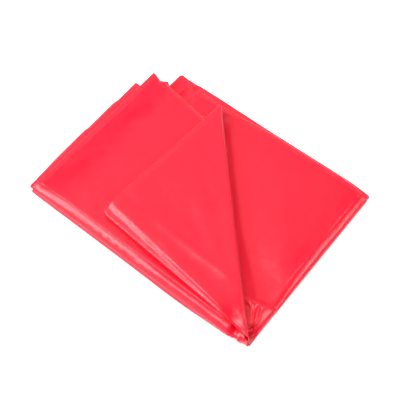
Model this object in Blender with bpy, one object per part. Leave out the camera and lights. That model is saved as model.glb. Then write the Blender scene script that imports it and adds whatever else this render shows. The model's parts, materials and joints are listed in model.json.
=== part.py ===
"""A kite's sail cloth, folded into a flat packet with one corner turned over.

The packet lies on the floor. Plan positions are in millimetres: u runs along the packet and v
across it, from near its front left corner. The front fold is a little askew, so its v falls as u
grows. The row frame has its origin under the middle of the packet, +X along u, +Y along v and
+Z up.

Bodies: the base leaves lie on the floor. The cover leaves fold over them at the front crease.
The corner leaves are the cover's far right corner, turned over at the corner crease.
"""

import math

import bmesh
import bpy
from mathutils import Vector

MM = 0.001

# The packet as a whole
PACKET_RIGHT = 304.8
PACKET_FAR = 230.0
THREAD_REACH = 14.0
FRONT_V = -1.7
FRONT_SLOPE = -0.0328
GAP = 0.3
EDGE_CLEARANCE = 1.0

# Base leaves, from the floor up. Each one's far left corner is missing: left of its notch it
# reaches only to BASE_SHORT_FAR, under the cover.
BASE_LEAF = 2.65
BASE_LEFT = (-8.0, -5.0, -2.0, 0.0)
BASE_NOTCH = (28.0, 30.0, 41.0, 65.0)
BASE_SHORT_FAR = 200.0
BASE_FAR = (230.0, 229.4, 228.6, 227.8)
BASE_RIGHT_STEP = 0.5
RIGHT_LEAN = 3.6
BASE_NAMES = ("base_leaf_bottom", "base_leaf_second", "base_leaf_third", "base_leaf_top")
BLUNT_START = 279.0
BLUNT_DEPTH = 4.0
PLEAT_START = 286.0
PLEAT_FAR_V = 14.0

# Cover leaves
COVER_LEAF = 2.1
COVER_LEFT = (0.0, 0.7, 1.4)
COVER_FAR = (210.0, 208.5, 207.0)
COVER_FAR_SLOPE = 0.156
COVER_NOSE_END = 289.0
COVER_RIGHT = 298.0
COVER_END_V = -4.5
COVER_NAMES = ("cover_leaf_lower", "cover_leaf_middle", "cover_leaf_upper")

# Turned corner: a right triangle, swung a little off the packet's sides
CORNER_LEAF = 2.1
CORNER_U = 82.5
CORNER_V = 20.0
CORNER_SWING = math.radians(-5.8)
CORNER_FRONT = 222.3
CORNER_SIDE = 194.4
CORNER_STAGGER = 0.8
CORNER_TIP = 5.0
CORNER_NAMES = ("corner_leaf_lower", "corner_leaf_middle", "corner_leaf_upper")

# Crease bands and trim
BAND = 0.5
BAND_BOW = 0.15
BAND_INSET = 2.0
BAND_STEPS = 6
NOSE_STEPS = 6
THREAD_RADIUS = 0.25


def stack_height(leaf, count):
    """Height of a pile of leaves with the working gap between them."""
    return leaf * count + GAP * (count - 1)


BASE_TOP = stack_height(BASE_LEAF, len(BASE_NAMES))
COVER_BOTTOM = BASE_TOP + GAP
COVER_TOP = COVER_BOTTOM + stack_height(COVER_LEAF, len(COVER_NAMES))
CORNER_BOTTOM = COVER_TOP + GAP
FRONT_HINGE_Z = BASE_TOP + GAP / 2
CORNER_HINGE_Z = COVER_TOP + GAP / 2


def front_v(u):
    """The front fold's v at u."""
    return FRONT_V + FRONT_SLOPE * u


def leaf_front(u):
    """The front of every base and cover leaf at u, just inside the outer turn of the fold."""
    return front_v(u) + EDGE_CLEARANCE


CENTRE_U = (PACKET_RIGHT - THREAD_REACH) / 2
CENTRE_V = (PACKET_FAR + front_v(PLEAT_START)) / 2


def clear_scene():
    for obj in list(bpy.data.objects):
        bpy.data.objects.remove(obj, do_unlink=True)


def plan(u, v, z=0.0):
    """A point of the packet's plan in the row frame, in metres."""
    return Vector((u - CENTRE_U, v - CENTRE_V, z)) * MM


def swung(x, y):
    """A point of the turned corner's own plan, measured from its left corner, in the packet's plan."""
    c, s = math.cos(CORNER_SWING), math.sin(CORNER_SWING)
    return CORNER_U + x * c - y * s, CORNER_V + x * s + y * c


TIP_U, TIP_V = swung(CORNER_FRONT, 0.0)
APEX_U, APEX_V = swung(0.0, CORNER_SIDE)
CREASE_LENGTH = math.hypot(APEX_U - TIP_U, APEX_V - TIP_V)
CREASE_ANGLE = math.atan2(APEX_V - TIP_V, APEX_U - TIP_U)


def crease_v(u):
    """The diagonal crease's v at u."""
    return TIP_V + (APEX_V - TIP_V) * (u - TIP_U) / (APEX_U - TIP_U)


def cloth(name, colour, roughness, sheen):
    material = bpy.data.materials.new(name)
    material.use_nodes = True
    shader = material.node_tree.nodes["Principled BSDF"]
    shader.inputs["Base Color"].default_value = (*colour, 1.0)
    shader.inputs["Roughness"].default_value = roughness
    shader.inputs["Metallic"].default_value = 0.0
    shader.inputs["Sheen Weight"].default_value = sheen
    material.diffuse_color = (*colour, 1.0)
    return material


def empty(name, location, angle=0.0, parent=None):
    obj = bpy.data.objects.new(name, None)
    obj.empty_display_size = 0.02
    bpy.context.collection.objects.link(obj)
    obj.parent = parent
    obj.location = location
    obj.rotation_euler.z = angle
    return obj


def add_mesh(name, build, material, parent=None, location=None, angle=0.0):
    """An object whose mesh the function build fills, placed in its parent's space."""
    mesh = bpy.data.meshes.new(name)
    bm = bmesh.new()
    build(bm)
    bmesh.ops.recalc_face_normals(bm, faces=bm.faces)
    for face in bm.faces:
        face.smooth = True
    bm.to_mesh(mesh)
    bm.free()
    mesh.set_sharp_from_angle(angle=math.radians(40))
    mesh.materials.append(material)
    obj = bpy.data.objects.new(name, mesh)
    bpy.context.collection.objects.link(obj)
    obj.parent = parent
    obj.location = location or Vector((0.0, 0.0, 0.0))
    obj.rotation_euler.z = angle
    return obj


def loft(bm, rings):
    """Skins a list of rings that have the same number of points, and caps both ends."""
    made = [[bm.verts.new(point) for point in ring] for ring in rings]
    for ring, following in zip(made, made[1:]):
        for i, vert in enumerate(ring):
            j = (i + 1) % len(ring)
            bm.faces.new((vert, ring[j], following[j], following[i]))
    bm.faces.new(made[0])
    bm.faces.new(reversed(made[-1]))


def leaf_ring(u, near, far, bottom, thickness):
    """Section of a leaf across u: a round folded edge at the near side, a square one at the far."""
    radius = thickness / 2
    ring = []
    for step in range(NOSE_STEPS + 1):
        turn = math.pi * (0.5 + step / NOSE_STEPS)
        v = near + radius + radius * math.cos(turn)
        z = bottom + radius + radius * math.sin(turn)
        ring.append((u, v, z))
    ring.append((u, far, bottom))
    ring.append((u, far, bottom + thickness))
    return ring


def base_leaf(index):
    """A leaf of the base: its far right corner is blunt, and its near right one is cut for the pleats."""
    notch, far = BASE_NOTCH[index], BASE_FAR[index]
    right = PACKET_RIGHT - index * BASE_RIGHT_STEP
    right_far = right - RIGHT_LEAN
    bottom = index * (BASE_LEAF + GAP)
    blunt = BLUNT_DEPTH / (PACKET_RIGHT - BLUNT_START)
    cut = (PLEAT_FAR_V - leaf_front(PLEAT_START)) / (PACKET_RIGHT - PLEAT_START)
    cut_v = leaf_front(PLEAT_START) + cut * (right_far - PLEAT_START)
    stations = [
        (BASE_LEFT[index], leaf_front(BASE_LEFT[index]), BASE_SHORT_FAR),
        (notch - 1.0, leaf_front(notch - 1.0), BASE_SHORT_FAR),
        (notch, leaf_front(notch), far),
        (BLUNT_START, leaf_front(BLUNT_START), far),
        (PLEAT_START, leaf_front(PLEAT_START), far - blunt * (PLEAT_START - BLUNT_START)),
        (right_far, cut_v, far - blunt * (right_far - BLUNT_START)),
        (right, PLEAT_FAR_V, PLEAT_FAR_V + 2 * BASE_LEAF),
    ]

    def build(bm):
        rings = []
        for u, near, edge in stations:
            ring = leaf_ring(u, near, edge, bottom, BASE_LEAF)
            rings.append([plan(*point) for point in ring])
        loft(bm, rings)

    return build


def cover_leaf(index, origin):
    """A leaf of the cover, cut off along the corner crease."""
    left, far = COVER_LEFT[index], COVER_FAR[index]
    bottom = COVER_BOTTOM + index * (COVER_LEAF + GAP)
    setback = EDGE_CLEARANCE / abs(math.sin(CREASE_ANGLE))
    slant = (APEX_V - TIP_V) / (APEX_U - TIP_U)
    meet = (far - TIP_V + setback + slant * TIP_U) / (slant + COVER_FAR_SLOPE)
    stations = [(left, leaf_front(left), far - COVER_FAR_SLOPE * left)]
    for u in (meet, COVER_NOSE_END):
        stations.append((u, leaf_front(u), crease_v(u) - setback))
    stations.append((COVER_RIGHT, COVER_END_V, crease_v(COVER_RIGHT) - setback))
    rings = []
    for u, near, edge in stations:
        ring = leaf_ring(u, near, edge, bottom, COVER_LEAF)
        rings.append([plan(*point) - origin for point in ring])

    def build(bm):
        loft(bm, rings)

    return build


def corner_leaf(index):
    """A leaf of the turned corner in its own plan: a triangle whose long side stops at the crease."""
    start = index * CORNER_STAGGER
    bottom = GAP / 2 + index * (CORNER_LEAF + GAP)
    reach = EDGE_CLEARANCE * CREASE_LENGTH / CORNER_FRONT
    side = CORNER_SIDE - reach - start
    length = CORNER_FRONT - start - CORNER_TIP
    stops = (start, start + length)

    def build(bm):
        rings = []
        for x in stops:
            far = CORNER_SIDE * (1 - x / CORNER_FRONT) - reach
            rings.append([
                Vector(point) * MM
                for point in leaf_ring(x, 0.0, min(far, side), bottom, CORNER_LEAF)
            ])
        loft(bm, rings)

    return build


def band_ring(across, low, high):
    """Section of a crease band: a strip that bows outwards, given as (across, height) points."""
    outer = []
    for step in range(BAND_STEPS + 1):
        away = 2 * step / BAND_STEPS - 1
        outer.append((across + BAND_BOW * away * away, low + (high - low) * step / BAND_STEPS))
    inner = [(v + BAND, z) for v, z in reversed(outer)]
    return outer + inner


def front_band(bm):
    """The cloth that turns round the front edge, from the base up to the cover."""
    ring = band_ring(0.0, 2 * BASE_LEAF, COVER_BOTTOM + 2 * COVER_LEAF)
    rings = []
    for u in (BAND_INSET, PLEAT_START - BAND_INSET):
        rings.append([plan(u, front_v(u) + v, z) for v, z in ring])
    loft(bm, rings)


def corner_band(bm):
    """The cloth that turns round the corner crease, in the crease's own frame."""
    ring = band_ring(-BAND, -2 * COVER_LEAF, 2 * CORNER_LEAF)
    rings = []
    for distance in (CORNER_TIP, CREASE_LENGTH - BAND_INSET):
        rings.append([Vector((distance, v, z)) * MM for v, z in ring])
    loft(bm, rings)


def pleats(bm):
    """The gathered cloth in the near right corner of the base, under the end of the corner crease."""
    inset = GAP * 1.8
    outline = (
        (PLEAT_START + inset, front_v(PLEAT_START)),
        (PACKET_RIGHT - 8.0, front_v(PLEAT_START) + 2.6),
        (PACKET_RIGHT - 1.6, -2.0),
        (PACKET_RIGHT, 4.0),
        (PACKET_RIGHT, PLEAT_FAR_V - 2 * inset),
    )
    middle = Vector((PACKET_RIGHT - 4.0, 0.0))
    rings = []
    for height, spread in ((0.4, 0.8), (3.0, 1.0), (8.0, 0.96), (BASE_TOP - 0.2, 0.7)):
        ring = []
        for point in outline:
            u, v = middle.lerp(Vector(point), spread)
            ring.append(plan(u, v, height))
        rings.append(ring)
    loft(bm, rings)


def loose_thread(material):
    """A thread that has worked loose from the left end of the bottom leaf."""
    data = bpy.data.curves.new("loose_thread", "CURVE")
    data.dimensions = "3D"
    data.bevel_depth = THREAD_RADIUS * MM
    data.bevel_resolution = 2
    data.use_fill_caps = True
    data.resolution_u = 6
    spline = data.splines.new("BEZIER")
    points = (
        (BASE_LEFT[0] - GAP - 0.3, 97.0, 1.5),
        (BASE_LEFT[0] - 2.4, 98.5, 4.5),
        (THREAD_RADIUS - THREAD_REACH, 101.5, 8.0),
    )
    spline.bezier_points.add(len(points) - 1)
    for knot, point in zip(spline.bezier_points, points):
        knot.co = plan(*point)
        knot.handle_left_type = "AUTO"
        knot.handle_right_type = "AUTO"
    data.materials.append(material)
    obj = bpy.data.objects.new("loose_thread", data)
    bpy.context.collection.objects.link(obj)
    return obj


def main():
    clear_scene()
    red = (0.86, 0.035, 0.055)
    bright = (0.90, 0.06, 0.08)
    pale = (0.85, 0.25, 0.25)

    for index, name in enumerate(BASE_NAMES):
        add_mesh(name, base_leaf(index), cloth(name, red, 0.36, 0.2))
    add_mesh("corner_pleats", pleats, cloth("corner_pleats", red, 0.4, 0.2))
    add_mesh("front_crease", front_band, cloth("front_crease", bright, 0.32, 0.25))
    loose_thread(cloth("loose_thread", pale, 0.7, 0.4))

    origin = plan(CENTRE_U, leaf_front(CENTRE_U) - GAP / 2, FRONT_HINGE_Z)
    cover_hinge = empty("cover_hinge", origin)
    for index, name in enumerate(COVER_NAMES):
        material = cloth(name, red, 0.36, 0.2)
        add_mesh(name, cover_leaf(index, origin), material, cover_hinge)

    tip = plan(TIP_U, TIP_V, CORNER_HINGE_Z)
    corner_hinge = empty("corner_hinge", tip - origin, CREASE_ANGLE, cover_hinge)
    band = cloth("corner_crease", bright, 0.32, 0.25)
    add_mesh("corner_crease", corner_band, band, cover_hinge, tip - origin, CREASE_ANGLE)

    left = Vector((CORNER_U - TIP_U, CORNER_V - TIP_V, 0.0)) * MM
    left.rotate(corner_hinge.rotation_euler.to_matrix().inverted())
    for index, name in enumerate(CORNER_NAMES):
        material = cloth(name, red, 0.36, 0.2)
        turn = CORNER_SWING - CREASE_ANGLE
        add_mesh(name, corner_leaf(index), material, corner_hinge, left, turn)


main()
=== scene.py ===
"""Looks of the folded sail cloth: its outer plies, the plies seen at its edges, and their material.

Plan positions are in millimetres: u runs along the packet and v across it, from near its front
left corner. The base lies on the floor, the cover folds over it at the front hinge, and the corner
is the cover's far right part turned over at the diagonal hinge. Sheets that pass a hinge run
through its axis, so they stay joined at every pose.
"""

import json
import math

import bmesh
import bpy
import numpy as np
from mathutils import Matrix, Vector


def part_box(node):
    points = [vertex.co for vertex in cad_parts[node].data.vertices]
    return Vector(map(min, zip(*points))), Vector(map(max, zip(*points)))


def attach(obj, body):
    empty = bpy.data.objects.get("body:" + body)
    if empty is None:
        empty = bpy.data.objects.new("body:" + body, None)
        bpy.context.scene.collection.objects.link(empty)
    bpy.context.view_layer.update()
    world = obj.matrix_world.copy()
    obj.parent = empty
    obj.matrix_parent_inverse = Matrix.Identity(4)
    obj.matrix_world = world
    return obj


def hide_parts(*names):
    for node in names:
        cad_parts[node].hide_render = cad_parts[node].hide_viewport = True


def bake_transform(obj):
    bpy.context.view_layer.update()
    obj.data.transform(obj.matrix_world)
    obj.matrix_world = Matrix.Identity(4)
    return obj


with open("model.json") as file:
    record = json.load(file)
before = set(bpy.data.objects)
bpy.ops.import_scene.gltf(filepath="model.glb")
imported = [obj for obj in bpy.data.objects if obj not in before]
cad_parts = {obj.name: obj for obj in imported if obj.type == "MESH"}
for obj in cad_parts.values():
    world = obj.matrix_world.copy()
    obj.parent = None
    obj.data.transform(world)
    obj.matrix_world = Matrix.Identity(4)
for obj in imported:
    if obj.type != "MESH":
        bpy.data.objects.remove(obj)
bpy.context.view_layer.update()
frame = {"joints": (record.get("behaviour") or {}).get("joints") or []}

MM = 0.001
JOINTS = {joint["name"]: joint for joint in frame["joints"]}
FLOOR_GAP = 0.12


def box_mm(node):
    low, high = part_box(node)
    return np.array(low) / MM, np.array(high) / MM


# ---------------------------------------------------------------- places, from the frame

BASE_NODES = ["base_leaf_bottom", "base_leaf_second", "base_leaf_third", "base_leaf_top"]
COVER_NODES = ["cover_leaf_lower", "cover_leaf_middle", "cover_leaf_upper"]
CORNER_NODES = ["corner_leaf_lower", "corner_leaf_middle", "corner_leaf_upper"]
BASE = [box_mm(node) for node in BASE_NODES]
COVER = [box_mm(node) for node in COVER_NODES]
CORNER = [box_mm(node) for node in CORNER_NODES]

# The plan's origin in the shared frame: the cover's left end, and the base's far edge less its v
PACKET_FAR = 230.0
ORIGIN = np.array([COVER[0][0][0], BASE[0][1][1] - PACKET_FAR, 0.0])
PACKET_RIGHT = BASE[0][1][0] - ORIGIN[0]

FRONT_AT = np.array(JOINTS["front_fold"]["pos_m"]) / MM - ORIGIN
FRONT_AXIS = np.array(JOINTS["front_fold"]["axis"])
FRONT_SLOPE = FRONT_AXIS[1] / FRONT_AXIS[0]
TIP = np.array(JOINTS["corner_fold"]["pos_m"]) / MM - ORIGIN
DIAGONAL = np.array(JOINTS["corner_fold"]["axis"])[:2]
DIAGONAL_SLOPE = DIAGONAL[1] / DIAGONAL[0]

FRONT_Z = FRONT_AT[2]
CREASE_Z = TIP[2]
BASE_TOP = BASE[-1][1][2]
COVER_BOTTOM = COVER[0][0][2]
COVER_TOP = COVER[-1][1][2]
CORNER_BOTTOM = CORNER[0][0][2]
CORNER_TOP = CORNER[-1][1][2]

# The turned corner's own plan: p along its front, q along its left side, from its left corner
CORNER_SWING = math.radians(-5.8)
CORNER_P = np.array([math.cos(CORNER_SWING), math.sin(CORNER_SWING)])
CORNER_Q = np.array([-CORNER_P[1], CORNER_P[0]])
CORNER_FRONT = 222.3
CORNER_SIDE = 194.4
CORNER_INSET = 1.6
CORNER_AT = TIP[:2] - CORNER_FRONT * CORNER_P


def hinge_v(u):
    """The front hinge's v at u."""
    return FRONT_AT[1] + FRONT_SLOPE * (u - FRONT_AT[0])


def crease_v(u):
    """The diagonal hinge's v at u."""
    return TIP[1] + DIAGONAL_SLOPE * (u - TIP[0])


def past_crease(u, v):
    """Distance from the diagonal hinge, positive on the base's open side."""
    return (u - TIP[0]) * DIAGONAL[1] - (v - TIP[1]) * DIAGONAL[0]


def along_crease(u, v):
    """Distance from the tip along the diagonal hinge."""
    return (u - TIP[0]) * DIAGONAL[0] + (v - TIP[1]) * DIAGONAL[1]


def smooth(t):
    t = np.clip(t, 0.0, 1.0)
    return t * t * (3 - 2 * t)


def bell(t):
    return np.exp(-t * t)


def quarter(t):
    """Height, from 0 to 1, of a quarter circle at t from its foot to its top."""
    return np.sqrt(1 - (1 - np.clip(t, 0, 1)) ** 2)


# ---------------------------------------------------------------- soft unevenness

def soft_noise(x, y, size, seed):
    """Smooth unevenness, mostly between -1 and 1, whose humps are about size across."""
    rng = np.random.default_rng(seed)
    total = np.zeros(np.broadcast(x, y).shape)
    waves = 9
    for _ in range(waves):
        turn = rng.uniform(0, 2 * math.pi)
        length = size * rng.uniform(1.3, 2.8)
        phase = rng.uniform(0, 2 * math.pi)
        total += np.sin(2 * math.pi * (x * math.cos(turn) + y * math.sin(turn)) / length + phase)
    return total / math.sqrt(waves * 2)


def ridge(x, y, start, end, width):
    """A soft ridge of height 1 along the line from start to end, fading at its ends."""
    start, end = np.array(start, float), np.array(end, float)
    length = np.linalg.norm(end - start)
    direction = (end - start) / length
    along = (x - start[0]) * direction[0] + (y - start[1]) * direction[1]
    across = (x - start[0]) * direction[1] - (y - start[1]) * direction[0]
    fade = 0.3 * length
    return bell(across / width) * smooth(along / fade) * smooth((length - along) / fade)


def lip(inside):
    """A cut or folded edge curls up a little, with a hollow behind it."""
    return 0.5 * bell((inside - 1.7) / 1.1) - 0.25 * bell((inside - 5.5) / 3.0)


# ---------------------------------------------------------------- meshes

MERGE = 0.02
LEAF_STEP = 5.0


def new_mesh(name, grids):
    """One smooth mesh from grids of (u, v, z) points, joined where their borders meet.

    Its map holds the cloth's own lengths along both directions of each grid, in metres. Its
    attribute "wear" is how sharply the cloth bends at each point."""
    bm = bmesh.new()
    layer = bm.loops.layers.uv.new("cloth")
    for points in grids:
        rows, columns = points.shape[:2]
        down = np.linalg.norm(np.diff(points, axis=0), axis=2).mean(axis=1)
        across = np.linalg.norm(np.diff(points, axis=1), axis=2).mean(axis=0)
        map_u = np.concatenate([[0], np.cumsum(down)]) * MM
        map_v = np.concatenate([[0], np.cumsum(across)]) * MM
        verts = [bm.verts.new(point) for point in (points.reshape(-1, 3) + ORIGIN) * MM]
        for i in range(rows - 1):
            for j in range(columns - 1):
                corner = i * columns + j
                face = bm.faces.new((
                    verts[corner],
                    verts[corner + columns],
                    verts[corner + columns + 1],
                    verts[corner + 1],
                ))
                face.smooth = True
                places = ((i, j), (i + 1, j), (i + 1, j + 1), (i, j + 1))
                for loop, (a, b) in zip(face.loops, places):
                    loop[layer].uv = (map_u[a], map_v[b])
    bmesh.ops.remove_doubles(bm, verts=bm.verts, dist=MERGE * MM)
    bmesh.ops.dissolve_degenerate(bm, edges=bm.edges, dist=0.002 * MM)
    wear = bm.verts.layers.float.new("wear")
    for vert in bm.verts:
        vert[wear] = min(1.0, 2.0 * sum(edge.calc_face_angle(0.0) for edge in vert.link_edges))
    mesh = bpy.data.meshes.new(name)
    bm.to_mesh(mesh)
    bm.free()
    obj = bpy.data.objects.new(name, mesh)
    bpy.context.collection.objects.link(obj)
    return obj


def spread(low, high, step, edge_low, edge_high):
    """Stations from low to high: one every step, and closer together on the rounded edges."""
    fan = 1 - np.cos(np.linspace(0, math.pi / 2, 7))
    first = low + edge_low * fan
    last = high - edge_high * fan[::-1]
    count = max(2, int((last[0] - first[-1]) / step))
    middle = np.linspace(first[-1], last[0], count + 1)[1:-1]
    return np.concatenate([first, middle, last])


def outline_distance(x, y, outline):
    """Distance from each point to an outline, given as a list of its sides' ends."""
    best = np.full(x.shape, 1e9)
    for (x0, y0), (x1, y1) in outline:
        span = np.array([x1 - x0, y1 - y0])
        length = span @ span
        if length < 1e-9:
            continue
        t = np.clip(((x - x0) * span[0] + (y - y0) * span[1]) / length, 0, 1)
        best = np.minimum(best, np.hypot(x - x0 - t * span[0], y - y0 - t * span[1]))
    return best


def plan_grid(stations, step, edge):
    """Points that fill the outline of (u, near, far) stations, and their distance from its edge."""
    stations = np.array(stations, float)
    us = spread(stations[0, 0], stations[-1, 0], step, edge, edge)
    inner = []
    for u in stations[1:-1, 0]:
        inner += [u, u + 0.15 * edge, u + 0.5 * edge, u + edge]
    us = np.unique(np.concatenate([us, inner]))
    near = np.interp(us, stations[:, 0], stations[:, 1])
    far = np.interp(us, stations[:, 0], stations[:, 2])
    tallest = (far - near).max()
    offsets = spread(0, tallest, step, edge, edge)
    width = (far - near)[:, None]
    low, high = offsets[None, :], (tallest - offsets)[None, :]
    pull = np.minimum(1.0, width / (4 * edge))
    ramp = near[:, None] + width * offsets[None, :] / tallest
    v = np.where(low <= edge, near[:, None] + low * pull, ramp)
    v = np.where(high <= edge, far[:, None] - high * pull, v)
    v = np.maximum.accumulate(v, axis=1)
    u = np.repeat(us[:, None], v.shape[1], axis=1)
    front, back = stations[:, [0, 1]], stations[:, [0, 2]]
    outline = [(back[i], back[i + 1]) for i in range(len(back) - 1)]
    outline += [(front[0], back[0]), (front[-1], back[-1])]
    outline += [(front[i], front[i + 1]) for i in range(len(front) - 1)]
    return u, v, outline_distance(u, v, outline)


def leaf(name, stations, low, high, shape, edge, seed, lumps, foot=0.0):
    """A folded pair of plies: a flat closed loop of cloth with a round edge all the way round.

    Its middle, under the plies above, is pressed closer to the foot of its pile."""
    u, v, inside = plan_grid(stations, LEAF_STEP, edge)
    fullness = quarter(inside / edge)
    middle, half = (low + high) / 2, (high - low) / 2
    wobble = lumps * soft_noise(u, v, 22, seed) * smooth(inside / 8)
    edge_wave = 0.5 * lumps * soft_noise(u, v, 16, seed + 50)
    grids = []
    for side in (1, -1):
        curl = 0.7 * lip(inside) * (side > 0)
        z = middle + edge_wave + (side * half + wobble + curl) * fullness
        z = foot + (z - foot) * (1 - 0.15 * smooth((inside - 2) / 9))
        grids.append(shape(np.stack([u, v, z], axis=-1)))
    grids[1] = grids[1][:, ::-1]
    return new_mesh(name, grids)


# ---------------------------------------------------------------- how the pile settles

COVER_DEPTH = 207.6
COVER_TAPER = 0.156
NOSE_DEPTH = 12.0
BELLY = 2.6
NOSE_END = 287.0
KNOT = np.array([301.0, 1.0])


def left_thinning(u):
    return smooth((46 - u) / 48)


def front_curve(u):
    """The packet's front edge: along the hinge, then round the gathered corner."""
    return hinge_v(u) + 7.0 * np.clip((u - 276) / 27.7, 0, 1.02) ** 2


def front_depth(z):
    """How far behind its foremost line the outer sheet is at height z."""
    reach = np.where(z > FRONT_Z, COVER_TOP - FRONT_Z, FRONT_Z)
    level = np.clip(np.abs(z - FRONT_Z) / reach, 0, 1)
    return NOSE_DEPTH * (1 - np.sqrt(1 - level ** 2))


def from_knot(u, v):
    """Distance from the gathered corner, and the direction from it in degrees."""
    du, dv = u - KNOT[0], v - KNOT[1]
    return np.hypot(du, dv), np.degrees(np.arctan2(dv, du))


def valley(u, v):
    """A trough beside the diagonal crease: the base slopes down away from it, then rises gently."""
    away = past_crease(u, v)
    along = along_crease(u, v)
    near_tip = smooth((150 - along) / 90)
    width = 9.5 + 6.0 * near_tip
    depth = 2.6 + 2.4 * near_tip
    wall = 48 - 4 * near_tip
    trough = smooth(0.1 + 0.9 * away / width) * (1 - smooth((away - width) / wall))
    outside = smooth((from_knot(u, v)[0] - 42) / 8)
    return depth * trough * smooth((292 - along) / 22) * outside


def knot_drop(u, v):
    """The base falls towards the gathered corner."""
    return 6.5 * bell(from_knot(u, v)[0] / 15)


def settle(points):
    """The pile is thinner at its left end and along its right edge, and dips here and there."""
    u, v, z = points[..., 0], points[..., 1], points[..., 2]
    behind = v - hinge_v(u)
    away = smooth((behind - 4) / 30)
    right = 0.2 * smooth((u - PACKET_RIGHT + 48) / 48) * smooth((behind - 18) / 50)
    far = 0.1 * smooth((v - PACKET_FAR + 40) / 40)
    low = np.minimum(0.04 * soft_noise(u, v, 70, 7), 0) * away * smooth(np.abs(past_crease(u, v)) / 15)
    dip = (valley(u, v) + knot_drop(u, v)) / BASE_TOP * smooth(past_crease(u, v) / 4 + 1)
    thin = left_thinning(u)
    below = np.minimum(z, FRONT_Z) * (1 - 0.15 * thin * away - right - far + low - dip)
    above = np.maximum(z - FRONT_Z, 0) * (1 - 0.42 * thin)
    lean = (4.4 * smooth(v / 200) - 1.0) * smooth((70 - u) / 70)
    return np.stack([u + lean, v, below + above], axis=-1)


def cover_far(u):
    """The far edge of the cover's upper plies, with a small step near its left corner."""
    edge = COVER_DEPTH - COVER_TAPER * u + 2.4 * bell((u - 1) / 6.0)
    return edge - 2.4 * bell((u - 14.5) / 3.5) + 1.2 * bell((u - 20) / 4.0)


# ---------------------------------------------------------------- the outer sheet

def cover_rise(u, v):
    """Unevenness of the cover's upper face: broad waves, folding marks, and puckers at the front."""
    behind = v - front_curve(u)
    waves = 0.4 * soft_noise(u, v, 34, 11) + 0.15 * soft_noise(u, v, 13, 12) - 0.3
    marks = 0.5 * ridge(u, v, (45, 12), (72, 175), 9) + 0.45 * ridge(u, v, (10, 130), (80, 178), 10)
    bunch = bell((u - 118) / 30) + 0.45 * bell((u - 185) / 35)
    pucker = soft_noise(u + 0.6 * behind, 0.35 * behind, 7, 13)
    pucker = 0.42 * pucker * bell((behind - 12) / 9.0) * bunch
    beside = -1.0 * smooth((inside_corner(u, v) + 16) / 15)
    return waves + marks + pucker + beside


def inside_corner(u, v):
    """How far a point of the plan is inside the turned corner's two straight sides."""
    p = (u - CORNER_AT[0]) * CORNER_P[0] + (v - CORNER_AT[1]) * CORNER_P[1]
    q = (u - CORNER_AT[0]) * CORNER_Q[0] + (v - CORNER_AT[1]) * CORNER_Q[1]
    return np.minimum(p, q)


def nose_height(u):
    """Share of the cover's height that the front edge keeps at u: it sinks towards the gathers."""
    return 1 - 0.65 * smooth((u - NOSE_END + 9) / 9) + 0.35 * smooth((u - NOSE_END) / 4.5)


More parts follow.
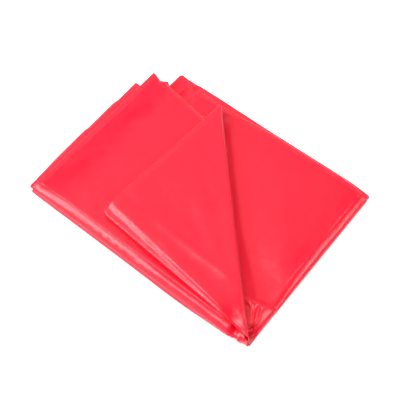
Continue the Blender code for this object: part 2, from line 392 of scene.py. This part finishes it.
def outer_sheet():
    """The outermost ply: the cover's upper face, the round front edge and the base's underside."""
    fall = DIAGONAL_SLOPE
    meet = (207.0 - TIP[1] + fall * TIP[0]) / (fall + COVER_TAPER)
    right = TIP[0] - 0.4
    us = np.unique(np.concatenate([
        spread(0.0, NOSE_END - 14, 2.0, 2.5, 1.0),
        np.arange(NOSE_END - 13, right - 3, 0.9),
        right - 3 * (1 - np.sin(np.linspace(0, math.pi / 2, 7))),
        [meet, meet + 1],
    ]))
    front = front_curve(us)
    room = np.maximum(crease_v(us) - front, 0.6)
    tighter = 0.38 * smooth((us - 140) / 50) - 0.12 * smooth((us - 205) / 45)
    depth = np.minimum(NOSE_DEPTH * (1 - tighter), 0.62 * room)
    start = front + depth
    far = np.minimum(cover_far(us), crease_v(us))
    rows = spread(0, 1, 0.01, 0.008, 0.012)
    v = start[:, None] + (far - start)[:, None] * rows[None, :]
    u = np.repeat(us[:, None], len(rows), axis=1)
    fall_left = 1 - quarter(u / 2.0)
    fall_far = (1 - quarter((cover_far(u) - v) / 1.8)) * smooth((crease_v(u) - v) / 4)
    under_corner = smooth((inside_corner(u, v) + 4) / 8)
    by_crease = smooth((crease_v(u) - v) / 14)
    rise = cover_rise(u, v)
    rise = (rise * (1 - under_corner) + np.minimum(rise, 0) * under_corner) * by_crease
    keep = nose_height(u) + (1 - nose_height(u)) * smooth((v - start[:, None]) / 10) * 0.8
    curl = lip(u) + lip(cover_far(u) - v) * smooth((crease_v(u) - v) / 8)
    z = COVER_TOP + 0.05 + rise * smooth(u / 6) + curl - 1.5 * np.minimum(fall_left + fall_far, 1)
    z = FRONT_Z + (z - FRONT_Z) * keep
    top = np.stack([u, v, z], axis=-1)

    turn = np.radians(np.linspace(-90, 90, 33))[:-1]
    nu = np.repeat(us[:, None], len(turn), axis=1)
    upper = np.clip(turn, 0, None)[None, :]
    lower = np.clip(turn, None, 0)[None, :]
    nz = FRONT_Z + (z[:, :1] - FRONT_Z) * np.sin(upper) + (FRONT_Z - FLOOR_GAP) * np.sin(lower)
    nv = start[:, None] - depth[:, None] * np.cos(turn)[None, :]
    gather = smooth((nu - NOSE_END - 2) / 5)
    sag = 0.5 * (soft_noise(nu, nz * 2, 26, 5) + 1) * np.abs(np.sin(turn))[None, :]
    pleat = 0.35 * np.sin(nu * 2 * math.pi / 6.5 + 0.25 * nz) * gather * np.cos(turn)[None, :]
    bulge = 1.3 * smooth((nu - NOSE_END - 3) / 5) * smooth((right - nu) / 5)
    groove = (2.4 * bell((nu - NOSE_END) / 4.0) - bulge) * np.cos(turn)[None, :]
    sunk = np.clip((FRONT_Z - nz) / FRONT_Z, 0, 1)
    belly = BELLY * smooth(sunk / 0.38) * smooth((1 - sunk) / 0.5) * (1 - smooth((nu - 210) / 80))
    nose = np.stack([nu, nv + 0.6 * sag * np.cos(turn)[None, :] + pleat + groove - belly, nz], axis=-1)

    back = np.linspace(PACKET_FAR - 4, 0, 26)
    bu = np.repeat(us[:, None], len(back), axis=1)
    bv = start[:, None] + 1 + back[None, :] * (PACKET_FAR - 6 - start[:, None]) / PACKET_FAR
    bv = np.minimum(bv, np.where(bu < 30, 198.0, 1e3))
    bu = bu + (right_edge(bv) - PACKET_RIGHT - 1.0) * smooth((bu - 200) / 104) * smooth((bv - 20) / 30)
    under = np.stack([bu, bv, np.full(bu.shape, FLOOR_GAP)], axis=-1)
    points = np.concatenate([under, nose, top], axis=1)
    return new_mesh("outer_sheet", [settle(points)])


# ---------------------------------------------------------------- the turned corner's sheet

ROLL_DEPTH = 4.2
CORNER_LEAN = 3.6
ABOVE_HINGE = 0.32
CORNER_DROP = 5.2
NOSE_WIDEST = 19.5
NOSE_NARROWEST = 4.0
HYPOTENUSE = math.hypot(CORNER_FRONT, CORNER_SIDE)

# The front edge's section, as shares of its depth and of half its height, from underneath to the
# top: a round lower edge, a narrow shelf, and a broad upper fold that rises to a low crown
CORNER_SECTION = (
    (0.70, -1.00), (0.38, -1.00), (0.13, -0.97), (0.02, -0.80), (0.00, -0.45), (0.01, -0.12),
    (0.05, 0.06), (0.11, 0.13), (0.22, 0.20), (0.33, 0.27), (0.40, 0.36), (0.46, 0.50),
    (0.52, 0.67), (0.58, 0.83), (0.65, 0.95), (0.75, 1.03), (1.00, 1.06),
)
CROWN = CORNER_SECTION[-1][1] - 1


def through(points, steps):
    """A smooth line through the points, with so many steps between each two of them."""
    points = np.array(points, float)
    ends = np.concatenate([points[:1], points, points[-1:]])
    line = []
    for a, b, c, d in zip(ends, ends[1:], ends[2:], ends[3:]):
        for t in np.arange(steps) / steps:
            bend = (2 * a - 5 * b + 4 * c - d) * t ** 2 + (3 * b - a - 3 * c + d) * t ** 3
            line.append(b + 0.5 * ((c - a) * t + bend))
    return np.array(line + [points[-1]])


def corner_cut(p):
    """How far the front edge stays behind its line where it rounds the left corner."""
    return 7.0 * (1 - quarter(p / 12.0))


def corner_plan(p, q):
    """Plan position of (p, q), whose left side leans outwards along the crease."""
    lean = CORNER_LEAN * np.clip(q / CORNER_SIDE, 0, 1.05) * (1 - smooth(p / 70))
    p, q = p - lean, q + lean * CORNER_SIDE / CORNER_FRONT
    return (
        CORNER_AT[0] + p * CORNER_P[0] + q * CORNER_Q[0],
        CORNER_AT[1] + p * CORNER_P[1] + q * CORNER_Q[1],
    )


def corner_nose(p):
    """Depth of the corner's front edge: it gets sharper towards the tip."""
    return np.clip(NOSE_WIDEST - 0.09 * (p - 25), NOSE_NARROWEST, NOSE_WIDEST)


def corner_height(p):
    """The turned corner's upper face gets lower towards its tip."""
    return CORNER_TOP - CORNER_DROP * smooth((p - 165) / 55) ** 1.3


def corner_rise(p, q, from_crease):
    """Unevenness of the corner's upper face: a hollow behind its front edge and folding marks."""
    before = q - corner_nose(p)
    dip = -0.3 * bell((before - 12) / 8)
    dip = dip - 0.6 * bell((q - 55) / 16) * smooth(p / 40) * smooth((150 - p) / 60)
    marks = 0.6 * ridge(p, q, (40, 30), (188, 38), 5) + 0.5 * ridge(p, q, (38, 130), (92, 106), 8)
    marks += 0.5 * ridge(p, q, (55, 84), (100, 78), 8)
    waves = 0.45 * soft_noise(p, q, 30, 21) + 0.16 * soft_noise(p, q, 12, 22)
    facet = -3.4 * bell((p - 195) / 14) * (1 - smooth((q - 1) / 15))
    return (dip + marks + waves - 0.4) * smooth(from_crease / 20) + facet


def corner_sheet():
    """The ply outside the turned corner: its upper face, its round front edge and the diagonal roll."""
    slant = CORNER_FRONT / HYPOTENUSE
    ps = spread(CORNER_INSET, CORNER_FRONT - 0.8, 2.0, 2.0, 3.0)
    to_crease = (CORNER_SIDE * (1 - ps / CORNER_FRONT))[:, None]
    roll = (ROLL_DEPTH / slant * (0.1 + 0.9 * smooth((ps + 4) / 34)))[:, None]
    depth = corner_nose(ps)[:, None]
    pull = np.minimum(1.0, to_crease / (depth + roll + 4))
    cut = np.minimum(corner_cut(ps)[:, None], 0.5 * to_crease)

    section = through(CORNER_SECTION, 4)
    rows = np.linspace(0, 1, 100)[1:-1]
    roll_turn = np.radians(np.linspace(90, -90, 27))
    nose = cut + depth * pull
    flat_end = np.maximum(to_crease - roll * pull, nose + 0.05)
    q = np.concatenate([
        cut + (depth * np.linspace(1.0, 0.74, 4)[None, :]) * pull,
        cut + depth * section[None, :, 0] * pull,
        nose + (flat_end - nose) * rows[None, :],
        to_crease - roll * (1 - np.cos(roll_turn))[None, :] * pull,
        to_crease - (roll + np.linspace(1, 10, 5)[None, :]) * pull,
    ], axis=1)
    p = np.repeat(ps[:, None], q.shape[1], axis=1)

    bottom = CORNER_BOTTOM + 0.1
    top = corner_height(p)
    middle = (bottom + top) / 2
    lining = COVER_BOTTOM + 0.15
    share = np.concatenate([
        np.full(4, -1.0),
        section[:, 1],
        np.full(len(rows) + len(roll_turn) + 5, 1.0),
    ])[None, :]
    crown = CROWN * bell((q - nose) / 9) * (q > nose) * (share == 1)
    z = middle + (top - middle) * (share + crown)
    first = 4 + len(section) + len(rows)
    high, low = top[:, :1] - CREASE_Z, CREASE_Z - lining
    wave = np.sin(roll_turn)[None, :]
    z[:, first:first + len(roll_turn)] = CREASE_Z + np.where(wave > 0, high * wave, low * wave)
    z[:, first + len(roll_turn):] = lining
    u, v = corner_plan(p, q)
    from_crease = (to_crease - q) * slant
    face = np.clip((z - middle) / (top - middle), 0, 1)
    z = z + face * (corner_rise(p, q, from_crease) + lip(p - CORNER_INSET) * smooth(from_crease / 12))
    rolled = (1 - quarter((p - CORNER_INSET) / 1.8)) * smooth(from_crease / 12)
    z = np.where(z > CREASE_Z + 0.2, np.maximum(z - 1.6 * rolled * face, CREASE_Z + 0.2), z)
    z[:, :first] = np.maximum(z[:, :first], CREASE_Z + ABOVE_HINGE)
    return new_mesh("corner_sheet", [np.stack([u, v, z], axis=-1)])


def corner_lining():
    """The ply under the turned corner, from the diagonal hinge to its free sides."""
    ps = spread(0.6, CORNER_FRONT - 0.8, 3.0, 1.0, 1.0)
    to_crease = CORNER_SIDE * (1 - ps / CORNER_FRONT)
    near = np.minimum(corner_cut(ps) + 2.5, 0.4 * to_crease)
    rows = np.linspace(0, 1, 70)
    q = near[:, None] + (to_crease - near)[:, None] * rows[None, :]
    p = np.repeat(ps[:, None], len(rows), axis=1)
    u, v = corner_plan(p, q)
    lift = smooth((to_crease[:, None] - q) / 8)
    z = CREASE_Z + (CORNER_BOTTOM + 0.05 - CREASE_Z) * lift
    z = z + 0.15 * (1 + soft_noise(p, q, 26, 31)) * lift
    return new_mesh("corner_lining", [np.stack([u, v, z], axis=-1)])


def corner_leaf(index):
    """One of the folded pairs of plies that show along the corner's left side."""
    low = CORNER_BOTTOM + 0.25 + index * 2.1
    high = low + 1.95
    start = (-1.8, -0.6, 0.4)[index]
    top = (1.8, 8.6, 12.2)[index]
    inset = ROLL_DEPTH * HYPOTENUSE / CORNER_FRONT + 2
    slope = CORNER_SIDE / CORNER_FRONT
    stations = []
    for p in (start, 3.0, 7.0, 13.0, 30.0, 60.0, 170.0):
        near = float(corner_cut(np.array(max(p, 0.3)))) + top * corner_nose(p) / NOSE_WIDEST
        far = min(CORNER_SIDE - 4 - index, CORNER_SIDE - inset * smooth((p - 2) / 10)) - slope * p
        stations.append((p, near, far))

    def turned(points):
        p, q, z = points[..., 0], points[..., 1], points[..., 2]
        u, v = corner_plan(p, q)
        z = CORNER_BOTTOM + (z - CORNER_BOTTOM) * (1 - 0.1 * smooth((p - 100) / 80))
        return np.stack([u, v, z], axis=-1)

    return leaf(f"corner_pair_{index + 1}", stations, low, high, turned, edge=0.95,
                seed=60 + index, lumps=0.12, foot=CORNER_BOTTOM)


# ---------------------------------------------------------------- the cover's inner plies

def cover_lining():
    """The cover's lowest ply, from the front hinge to its free edges."""
    us = spread(0.8, TIP[0] - 1.5, 3.0, 1.2, 1.0)
    near = np.minimum(front_curve(us) + 1.5 * smooth((us - NOSE_END) / 6), crease_v(us) - 0.5)
    far = np.minimum(cover_far(us) - 1.0, crease_v(us) - 9.0)
    far = np.maximum(far, near + 0.4)
    rows = np.linspace(0, 1, 90) ** 1.15
    v = near[:, None] + (far - near)[:, None] * rows[None, :]
    u = np.repeat(us[:, None], len(rows), axis=1)
    lift = smooth((v - near[:, None]) / 7)
    z = FRONT_Z + (COVER_BOTTOM + 0.1 - FRONT_Z) * lift + 0.12 * (1 + soft_noise(u, v, 28, 41)) * lift
    return new_mesh("cover_lining", [settle(np.stack([u, v, z], axis=-1))])


def cover_leaf(index):
    """One of the folded pairs of plies that show along the cover's left and far edges."""
    low = COVER_BOTTOM + 0.35 + index * 2.15
    high = low + 2.0
    left = (-1.6, -0.9, -0.4)[index]
    back = (2.2, 1.2, 0.4)[index]
    near = max(front_depth(low), front_depth(high)) + 0.8
    stations = []
    for u in (left, 4.0, 8.0, 13.0, 16.0, 22.0, 28.0, 34.0, 45.0, 90.0, 105.0, 150.0, 270.0):
        flap = 4.0 * bell((u - 21) / 7) * (index == 0)
        far = min(float(cover_far(np.array(u))) + back - 0.8 + flap, crease_v(u) - 12.0)
        stations.append((u, hinge_v(u) + near, far))
    return leaf(f"cover_pair_{index + 1}", stations, low, high, settle, edge=1.0,
                seed=70 + index, lumps=0.15, foot=COVER_BOTTOM)


# ---------------------------------------------------------------- the base

TOP_START = 61.5
EDGE_ROLL = 11.0
EDGE_FALL = 8.2
RIGHT_LEAN = 3.6
LEAF_PITCH = 2.72


def pleats(u, v):
    """Gathers that fan out from the corner between the diagonal crease and the right edge."""
    reach, angle = from_knot(u, v)
    away = past_crease(u, v)
    ridges = np.cos((angle - 122) * 2 * math.pi / 14.0 + 0.9 * np.sin(reach / 8.0))
    fan = smooth((angle - 98) / 7)
    inside = smooth((44 - reach) / 9)
    folds = 1.5 * ridges * fan * inside * smooth((reach - 6) / 10)
    cleft = -9.0 * bell((away - 2.6) / 3.2) * smooth((42 - reach) / 8) * smooth((reach - 4) / 8)
    crest = 1.5 * bell((reach - 46) / 3.6) * smooth((angle - 104) / 8)
    small = 0.7 * bell((angle - 99) / 3.0) * smooth((reach - 26) / 6) * smooth((42 - reach) / 6)
    return folds + cleft + crest + small


def right_edge(v):
    """The base's right edge leans outwards towards the front."""
    return PACKET_RIGHT - RIGHT_LEAN * np.clip((v - 14) / 212, -0.1, 1)


def far_edge(u):
    """The far edge of the base's upper ply: it closes up to the lower ones towards the right."""
    return 223.4 + 4.0 * smooth((u - 95) / 70) - 3.6 * np.clip((u - 282) / 16, 0, 1.1)


def base_top():
    """The ply that covers the base: it rolls over the right edge and shows its cut at the far one."""
    us = np.unique(np.concatenate([
        spread(0.5, PACKET_RIGHT, 2.2, 1.2, 6.0),
        np.arange(256, PACKET_RIGHT, 0.9),
        TOP_START + np.array([-0.02, 0.0, 0.4, 1.0, 1.8]),
    ]))
    near = front_curve(us) + 1.0 * smooth((us - 284) / 16)
    far = np.where(us < TOP_START, 190.0, far_edge(us) - 2.0 * bell((us - TOP_START) / 2.0))
    rows = spread(0, 1, 0.008, 0.006, 0.010)
    v = near[:, None] + (far - near)[:, None] * rows[None, :]
    u = np.repeat(us[:, None], len(rows), axis=1)
    edge_u = right_edge(v)
    u = u + (edge_u - PACKET_RIGHT) * smooth((u - 200) / 104)
    inner = edge_u - u
    roll = 1 - quarter(inner / EDGE_ROLL)
    far_roll = 1 - quarter((far[:, None] - v) / 2.0)
    step_roll = (1 - quarter((u - TOP_START) / 1.8)) * (u >= TOP_START) * smooth((v - 192) / 4)
    lift = smooth((v - near[:, None]) / 7)
    waves = 0.45 * soft_noise(u, v, 38, 91) + 0.13 * soft_noise(u, v, 14, 92)
    waves = waves * smooth(inner / 14) * lift
    open_side = smooth((past_crease(u, v) + 6) / 6)
    z = FRONT_Z + (BASE_TOP + 0.08 - FRONT_Z) * lift
    z = z + (waves - 0.3 * lift) * open_side - 0.35 * lift * (1 - open_side)
    curl = lip(far[:, None] - v) + lip(u - TOP_START) * (u >= TOP_START) * smooth((v - 200) / 6)
    z = z - EDGE_FALL * roll - 1.8 * np.maximum(far_roll, step_roll) + curl
    points = settle(np.stack([u, v, z], axis=-1))
    points[..., 2] += pleats(points[..., 0], points[..., 1]) * open_side * (1 - roll)
    points[..., 2] = np.maximum(points[..., 2], 1.2)
    return new_mesh("base_top", [points])


def base_leaf(index):
    """One of the folded pairs of plies that the base is made of, from the floor up."""
    low = 0.35 + index * LEAF_PITCH
    high = low + 2.6
    notch = (25.8, 26.6, 41.0, TOP_START + 1.0)[index]
    left = (0.0, 0.3, 0.2, -1.0)[index]
    short = (176.0, 186.0, 189.0, 184.0)[index]
    far = (233.6, 233.0, 222.6, 222.4)[index]
    right = (-1.0, -1.8, -4.0, -9.0)[index]
    flare = (11.0, 10.6, 9.8, 6.0)[index]
    near = max(front_depth(low), front_depth(high)) + 0.8
    end = PACKET_RIGHT + right
    close = (-1.2, -1.2, 3.4, 3.2)[index]
    stations = [
        (left, hinge_v(left) + near, short),
        (notch - 0.6, hinge_v(notch) + near, short),
        (notch, hinge_v(notch) + near, far - 2.5),
        (notch + 1.6, hinge_v(notch) + near, far),
        (95.0, hinge_v(95.0) + near, far + 0.2 * close),
        (165.0, hinge_v(165.0) + near, far + close),
        (279.0, hinge_v(279.0) + near, far + close),
        (286.0, hinge_v(286.0) + near, far + close - 0.6),
        (end - 6.0, 4.0, far + close - 1.4),
        (end, 15.0, far + close - 2.2),
    ]

    def placed(points):
        u, v, z = points[..., 0], points[..., 1], points[..., 2]
        u = u + (right_edge(v) - PACKET_RIGHT) * smooth((u - 200) / 104)
        grown = smooth((v - 1) / 15) if index < 3 else smooth((v + 6) / 9)
        drawn = 1 - 0.10 * smooth((v - 98) / 6) - 0.16 * smooth((v - 150) / 6)
        grown = grown * (1 - 0.15 * (1 - smooth((v - 8) / 50)))
        out = flare * grown * drawn + 4.2 * smooth(v / 200)
        tilt = (0.0, 2.4, 1.8, 0.0)[index] * smooth((u - notch - 1) / 14) * smooth((v - 198) / 6)
        z = z - tilt * smooth((notch + 30 - u) / 10)
        u = u - out * smooth((40 - u) / 40)
        return settle(np.stack([u, v, z], axis=-1))

    return leaf(f"base_pair_{index + 1}", stations, low, high, placed, edge=1.3,
                seed=80 + index, lumps=0.2)


# ---------------------------------------------------------------- the loose thread

def loose_thread():
    """A frayed thread from the left end of the bottom plies, as a thin tube along a curve."""
    low, high = box_mm("loose_thread")
    root = np.array([low[0] + 7.0, low[1] + 0.2, low[2] + 0.3])
    tip = np.array([low[0] + 0.3, high[1], high[2]])
    points = []
    for t in np.linspace(0, 1, 15):
        point = root + (tip - root) * t
        point[2] += 1.2 * math.sin(math.pi * t)
        point[1] += 0.8 * math.sin(2 * math.pi * t)
        points.append(point * MM)
    curve = bpy.data.curves.new("loose_thread_tube", "CURVE")
    curve.dimensions = "3D"
    curve.bevel_depth = 0.17 * MM
    curve.bevel_resolution = 2
    curve.use_fill_caps = True
    spline = curve.splines.new("POLY")
    spline.points.add(len(points) - 1)
    for knot, point in zip(spline.points, points):
        knot.co = (*point, 1.0)
    obj = bpy.data.objects.new("loose_thread_tube", curve)
    bpy.context.collection.objects.link(obj)
    return obj


# ---------------------------------------------------------------- material

THREAD_PITCH = 0.00042
RED = (0.87, 0.001, 0.026)
WORN_RED = (0.89, 0.022, 0.05)
PINK_THREAD = (0.85, 0.25, 0.25)


def node(tree, kind, links=None, **settings):
    made = tree.nodes.new(kind)
    for name, value in settings.items():
        setattr(made, name, value)
    for name, value in (links or {}).items():
        socket = made.inputs[name]
        if isinstance(value, bpy.types.NodeSocket):
            tree.links.new(value, socket)
        else:
            socket.default_value = value
    return made


def cloth_material(name):
    """Thin coated taffeta: saturated red, a soft gloss, a fine plain weave and small creases."""
    material = bpy.data.materials.new(name)
    material.use_nodes = True
    tree = material.node_tree
    tree.nodes.clear()
    out = node(tree, "ShaderNodeOutputMaterial")
    shader = node(tree, "ShaderNodeBsdfPrincipled")
    tree.links.new(shader.outputs[0], out.inputs[0])
    places = node(tree, "ShaderNodeUVMap", uv_map="cloth")
    cloth = places.outputs[0]
    world = node(tree, "ShaderNodeTexCoord").outputs["Object"]

    split = node(tree, "ShaderNodeSeparateXYZ", {0: cloth})
    threads = []
    for axis in (0, 1):
        pitch = {0: split.outputs[axis], 1: 2 * math.pi / THREAD_PITCH}
        run = node(tree, "ShaderNodeMath", pitch, operation="MULTIPLY")
        wave = node(tree, "ShaderNodeMath", {0: run.outputs[0]}, operation="SINE")
        threads.append(wave.outputs[0])
    crossing = {0: threads[0], 1: threads[1]}
    weave = node(tree, "ShaderNodeMath", crossing, operation="MULTIPLY").outputs[0]

    def noise(scale, detail, roughness):
        settings = {"Vector": world, "Scale": scale, "Detail": detail, "Roughness": roughness}
        return node(tree, "ShaderNodeTexNoise", settings)

    mottle = noise(22.0, 3.0, 0.5)
    fine = noise(380.0, 2.0, 0.6)
    crease = noise(75.0, 3.0, 0.45)

    tone = node(tree, "ShaderNodeMapRange", {
        "Value": mottle.outputs[0], "From Min": 0.35, "From Max": 0.65, "To Min": 0.0, "To Max": 1.0,
    })
    base = node(tree, "ShaderNodeMix", {0: tone.outputs[0]}, data_type="RGBA")
    base.inputs[6].default_value = (RED[0] * 0.96, RED[1] * 0.8, RED[2] * 0.9, 1)
    base.inputs[7].default_value = (RED[0], RED[1], RED[2], 1)
    bend = node(tree, "ShaderNodeAttribute", attribute_name="wear")
    amount = {0: bend.outputs["Fac"], 1: fine.outputs[0]}
    rubbed = node(tree, "ShaderNodeMath", amount, operation="MULTIPLY")
    worn = node(tree, "ShaderNodeMix", {0: rubbed.outputs[0], 6: base.outputs[2]}, data_type="RGBA")
    worn.inputs[7].default_value = (*WORN_RED, 1)
    tree.links.new(worn.outputs[2], shader.inputs["Base Color"])

    rough = node(tree, "ShaderNodeMapRange", {
        "Value": mottle.outputs[0], "From Min": 0.0, "From Max": 1.0, "To Min": 0.25, "To Max": 0.36,
    })
    tree.links.new(rough.outputs[0], shader.inputs["Roughness"])

    weave_bump = node(tree, "ShaderNodeBump", {"Height": weave, "Strength": 0.12, "Distance": 0.00006})
    fine_bump = node(tree, "ShaderNodeBump", {
        "Height": fine.outputs[0], "Strength": 0.25, "Distance": 0.0002, "Normal": weave_bump.outputs[0],
    })
    crease_bump = node(tree, "ShaderNodeBump", {
        "Height": crease.outputs[0], "Strength": 0.3, "Distance": 0.0012, "Normal": fine_bump.outputs[0],
    })
    tree.links.new(crease_bump.outputs[0], shader.inputs["Normal"])
    shader.inputs["IOR"].default_value = 1.48
    shader.inputs["Sheen Weight"].default_value = 0.04
    shader.inputs["Sheen Roughness"].default_value = 0.4
    return material


def thread_material():
    material = bpy.data.materials.new("thread")
    material.use_nodes = True
    tree = material.node_tree
    shader = tree.nodes["Principled BSDF"]
    world = node(tree, "ShaderNodeTexCoord").outputs["Object"]
    noise = node(tree, "ShaderNodeTexNoise", {"Vector": world, "Scale": 900.0})
    tone = node(tree, "ShaderNodeMix", {0: noise.outputs[0]}, data_type="RGBA")
    tone.inputs[6].default_value = (PINK_THREAD[0], PINK_THREAD[1] * 0.6, PINK_THREAD[2] * 0.7, 1)
    tone.inputs[7].default_value = (*PINK_THREAD, 1)
    tree.links.new(tone.outputs[2], shader.inputs["Base Color"])
    shader.inputs["Roughness"].default_value = 0.7
    return material


# ---------------------------------------------------------------- putting the pieces in place

CLOTH = cloth_material("sail_cloth")


def declare(obj, nodes):
    """A cloth piece: its material, and the CAD leaves that it stands for, which it hides."""
    obj.data.materials.append(CLOTH)
    if nodes:
        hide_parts(*nodes)
    return obj


def row(u, v, z):
    return tuple((np.array([u, v, z]) + ORIGIN) * MM)


sheet = declare(outer_sheet(), ["front_crease"])
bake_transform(sheet)

sheet = declare(corner_sheet(), ["corner_crease"])
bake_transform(sheet)

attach(declare(corner_lining(), []), "corner")
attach(declare(cover_lining(), []), "cover")
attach(declare(base_top(), ["corner_pleats"]), "base")
for i, name in enumerate(BASE_NODES):
    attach(declare(base_leaf(i), [name]), "base")
for i, name in enumerate(COVER_NODES):
    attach(declare(cover_leaf(i), [name]), "cover")
for i, name in enumerate(CORNER_NODES):
    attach(declare(corner_leaf(i), [name]), "corner")

thread = loose_thread()
thread.data.materials.append(thread_material())
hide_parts("loose_thread")
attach(thread, "base")

# ---------------------------------------------------------------- floor, light and camera

FLOOR_SIZE = 12.0


def floor():
    bm = bmesh.new()
    bmesh.ops.create_grid(bm, x_segments=2, y_segments=2, size=FLOOR_SIZE / 2)
    mesh = bpy.data.meshes.new("floor")
    bm.to_mesh(mesh)
    bm.free()
    obj = bpy.data.objects.new("floor", mesh)
    bpy.context.collection.objects.link(obj)
    material = bpy.data.materials.new("floor")
    material.use_nodes = True
    shader = material.node_tree.nodes["Principled BSDF"]
    shader.inputs["Base Color"].default_value = (0.93, 0.93, 0.93, 1)
    shader.inputs["Roughness"].default_value = 0.9
    shader.inputs["Emission Color"].default_value = (1, 1, 1, 1)
    shader.inputs["Emission Strength"].default_value = 0.6
    mesh.materials.append(material)


def softbox(name, direction, distance, size, power):
    """A rectangular light that faces the origin, with one side turned as near to x as it can be."""
    light = bpy.data.lights.new(name, "AREA")
    light.shape = "RECTANGLE"
    light.size, light.size_y = size
    light.energy = power
    obj = bpy.data.objects.new(name, light)
    bpy.context.collection.objects.link(obj)
    back = Vector(direction).normalized()
    side = (Vector((1, 0, 0)) - back * back.x).normalized()
    obj.matrix_world = Matrix((side, back.cross(side), back)).transposed().to_4x4()
    obj.location = back * distance


def studio():
    """Even light from all round, brighter towards the horizon than overhead."""
    world = bpy.data.worlds.new("studio")
    world.use_nodes = True
    tree = world.node_tree
    direction = node(tree, "ShaderNodeTexCoord").outputs["Generated"]
    split = node(tree, "ShaderNodeSeparateXYZ", {0: direction})
    grey = node(tree, "ShaderNodeMapRange", {
        "Value": split.outputs[2], "From Min": 0.1, "From Max": 0.5, "To Min": 0.6, "To Max": 0.1,
    })
    tree.links.new(grey.outputs[0], tree.nodes["Background"].inputs["Color"])
    return world


floor()
softbox("key", (-0.33, -0.15, 0.93), 1.6, (0.72, 0.44), 13.0)
softbox("side", (-0.63, -0.37, 0.68), 2.0, (0.85, 0.85), 29.0)
softbox("front", (-0.22, -0.87, 0.44), 1.9, (1.6, 0.7), 6.5)
softbox("overhead", (-0.33, 0.46, 0.82), 2.0, (1.5, 1.3), 5.9)
softbox("edge", (0.60, 0.42, 0.68), 1.6, (0.55, 0.55), 9.0)
bpy.context.scene.world = studio()
bpy.context.scene.view_settings.view_transform = "Standard"

CAMERA_AZIMUTH = math.radians(38.1)
CAMERA_ELEVATION = math.radians(57.95)
CAMERA_DISTANCE = 1.5
CAMERA_TARGET = Vector(row(151.5, 109.5, 0.0))
camera = bpy.data.objects.new("camera", bpy.data.cameras.new("camera"))
bpy.context.collection.objects.link(camera)
camera.data.sensor_width = 36.0
camera.data.lens = 119.8
camera.data.clip_start = 0.01
outwards = Vector((
    math.sin(CAMERA_AZIMUTH) * math.cos(CAMERA_ELEVATION),
    -math.cos(CAMERA_AZIMUTH) * math.cos(CAMERA_ELEVATION),
    math.sin(CAMERA_ELEVATION),
))
camera.location = CAMERA_TARGET + outwards * CAMERA_DISTANCE
camera.rotation_euler = outwards.to_track_quat("Z", "Y").to_euler()
bpy.context.scene.camera = camera
